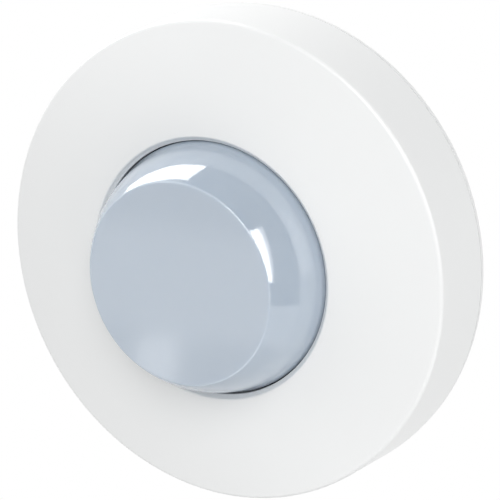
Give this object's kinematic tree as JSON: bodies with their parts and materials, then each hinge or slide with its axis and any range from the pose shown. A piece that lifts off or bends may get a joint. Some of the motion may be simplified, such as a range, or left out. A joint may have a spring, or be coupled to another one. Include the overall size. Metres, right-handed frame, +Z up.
{
  "type": "presence detector",
  "caption": "Slim round wall-mounted presence detector: white pull-off cover ring, turning lens cap, sensor board with dials, switches and push-in terminal on a screw-slot base plate.",
  "frame": {"origin": "middle of the back face, on the wall plane", "axes": "+Y points into the wall, the lens looks along -Y, +Z is up"},
  "size_m": [0.0824, 0.0247, 0.0824],
  "materials": {
    "white_housing": "fine spark-eroded texture, satin",
    "lens_plastic": "smooth gloss, lightly translucent",
    "black_plastic": "fine matt texture",
    "foam_rubber": "closed-cell foam",
    "grommet_rubber": "smooth soft rubber",
    "board_laminate": "solder mask over glass cloth",
    "screw_steel": "bright zinc plate",
    "sensor_metal": "nickel plate",
    "window_filter": "polished dark filter",
    "element_ceramic": "unglazed",
    "tinned_metal": "bright tin plate",
    "clear_epoxy": "clear moulded epoxy",
    "dark_epoxy": "dark moulded epoxy",
    "red_epoxy": "tinted moulded epoxy",
    "terminal_plastic": "moulded, satin",
    "pusher_plastic": "moulded, satin",
    "spring_steel": "bright stainless strip",
    "switch_plastic": "moulded, satin",
    "button_plastic": "moulded, smooth",
    "trimmer_plastic": "moulded, satin",
    "dial_plastic": "moulded, satin",
    "dip_plastic": "moulded, satin",
    "slider_plastic": "moulded, satin",
    "chip_epoxy": "moulded epoxy",
    "capacitor_can": "drawn aluminium can",
    "relay_plastic": "moulded, satin",
    "chip_ceramic": "fired ceramic body"
  },
  "bodies": {
    "base": {"base_plate": "white_housing", "wall_gasket": "foam_rubber", "cable_grommet": "grommet_rubber", "circuit_board": "board_laminate", "lens_carrier": "black_plastic", "carrier_screws": "screw_steel", "sensor_spacer": "black_plastic", "sensor_header": "sensor_metal", "sensor_can": "sensor_metal", "sensor_window": "window_filter", "sensor_element": "element_ceramic", "sensor_leads": "tinned_metal", "light_sensor": "clear_epoxy", "ir_receiver": "dark_epoxy", "status_led": "red_epoxy", "terminal_block": "terminal_plastic", "terminal_clamps": "spring_steel", "terminal_pins": "tinned_metal", "button_case": "switch_plastic", "button_dome": "spring_steel", "trimmer_bodies": "trimmer_plastic", "dip_switch_body": "dip_plastic", "controller_chip": "chip_epoxy", "controller_legs": "tinned_metal", "capacitors": "capacitor_can", "output_switch": "relay_plastic", "small_parts": "chip_ceramic"},
    "cover": {"cover_ring": "white_housing"},
    "lens": {"lens_cap": "lens_plastic"},
    "button": {"button_plunger": "button_plastic"},
    "time_dial": {"time_dial": "dial_plastic"},
    "light_dial": {"light_dial": "dial_plastic"},
    "range_dial": {"range_dial": "dial_plastic"},
    "switch_1": {"dip_slider_1": "slider_plastic"},
    "switch_2": {"dip_slider_2": "slider_plastic"},
    "switch_3": {"dip_slider_3": "slider_plastic"},
    "switch_4": {"dip_slider_4": "slider_plastic"},
    "pusher_1": {"terminal_pusher_1": "pusher_plastic"},
    "pusher_2": {"terminal_pusher_2": "pusher_plastic"},
    "pusher_3": {"terminal_pusher_3": "pusher_plastic"},
    "pusher_4": {"terminal_pusher_4": "pusher_plastic"}
  },
  "joints": [
    {"name": "cover_pull", "type": "slide", "parent": "base", "child": "cover", "axis": [0, -1, 0], "range_m": [0, 0.03]},
    {"name": "lens_turn", "type": "hinge", "parent": "base", "child": "lens", "pos_m": [0, -0.007, 0], "axis": [0, -1, 0], "range_deg": [0, 20]},
    {"name": "button_press", "type": "slide", "parent": "base", "child": "button", "axis": [0, 1, 0], "range_m": [0, 0.00025], "stiffness_N_per_m": 400, "springref_m": -0.0005},
    {"name": "time_turn", "type": "hinge", "parent": "base", "child": "time_dial", "pos_m": [-0.02714, -0.008, -0.01324], "axis": [0, -1, 0], "range_deg": [-135, 135]},
    {"name": "light_turn", "type": "hinge", "parent": "base", "child": "light_dial", "pos_m": [-0.01941, -0.008, -0.02313], "axis": [0, -1, 0], "range_deg": [-135, 135]},
    {"name": "range_turn", "type": "hinge", "parent": "base", "child": "range_dial", "pos_m": [-0.00832, -0.008, -0.02903], "axis": [0, -1, 0], "range_deg": [-135, 135]},
    {"name": "switch_1_slide", "type": "slide", "parent": "base", "child": "switch_1", "axis": [-0.5878, 0, 0.809], "range_m": [0, 0.0016]},
    {"name": "switch_2_slide", "type": "slide", "parent": "base", "child": "switch_2", "axis": [-0.5878, 0, 0.809], "range_m": [0, 0.0016]},
    {"name": "switch_3_slide", "type": "slide", "parent": "base", "child": "switch_3", "axis": [-0.5878, 0, 0.809], "range_m": [0, 0.0016]},
    {"name": "switch_4_slide", "type": "slide", "parent": "base", "child": "switch_4", "axis": [-0.5878, 0, 0.809], "range_m": [0, 0.0016]},
    {"name": "pusher_1_press", "type": "slide", "parent": "base", "child": "pusher_1", "axis": [0, 1, 0], "range_m": [0, 0.0008], "stiffness_N_per_m": 300, "springref_m": -0.0005},
    {"name": "pusher_2_press", "type": "slide", "parent": "base", "child": "pusher_2", "axis": [0, 1, 0], "range_m": [0, 0.0008], "stiffness_N_per_m": 300, "springref_m": -0.0005},
    {"name": "pusher_3_press", "type": "slide", "parent": "base", "child": "pusher_3", "axis": [0, 1, 0], "range_m": [0, 0.0008], "stiffness_N_per_m": 300, "springref_m": -0.0005},
    {"name": "pusher_4_press", "type": "slide", "parent": "base", "child": "pusher_4", "axis": [0, 1, 0], "range_m": [0, 0.0008], "stiffness_N_per_m": 300, "springref_m": -0.0005}
  ]
}
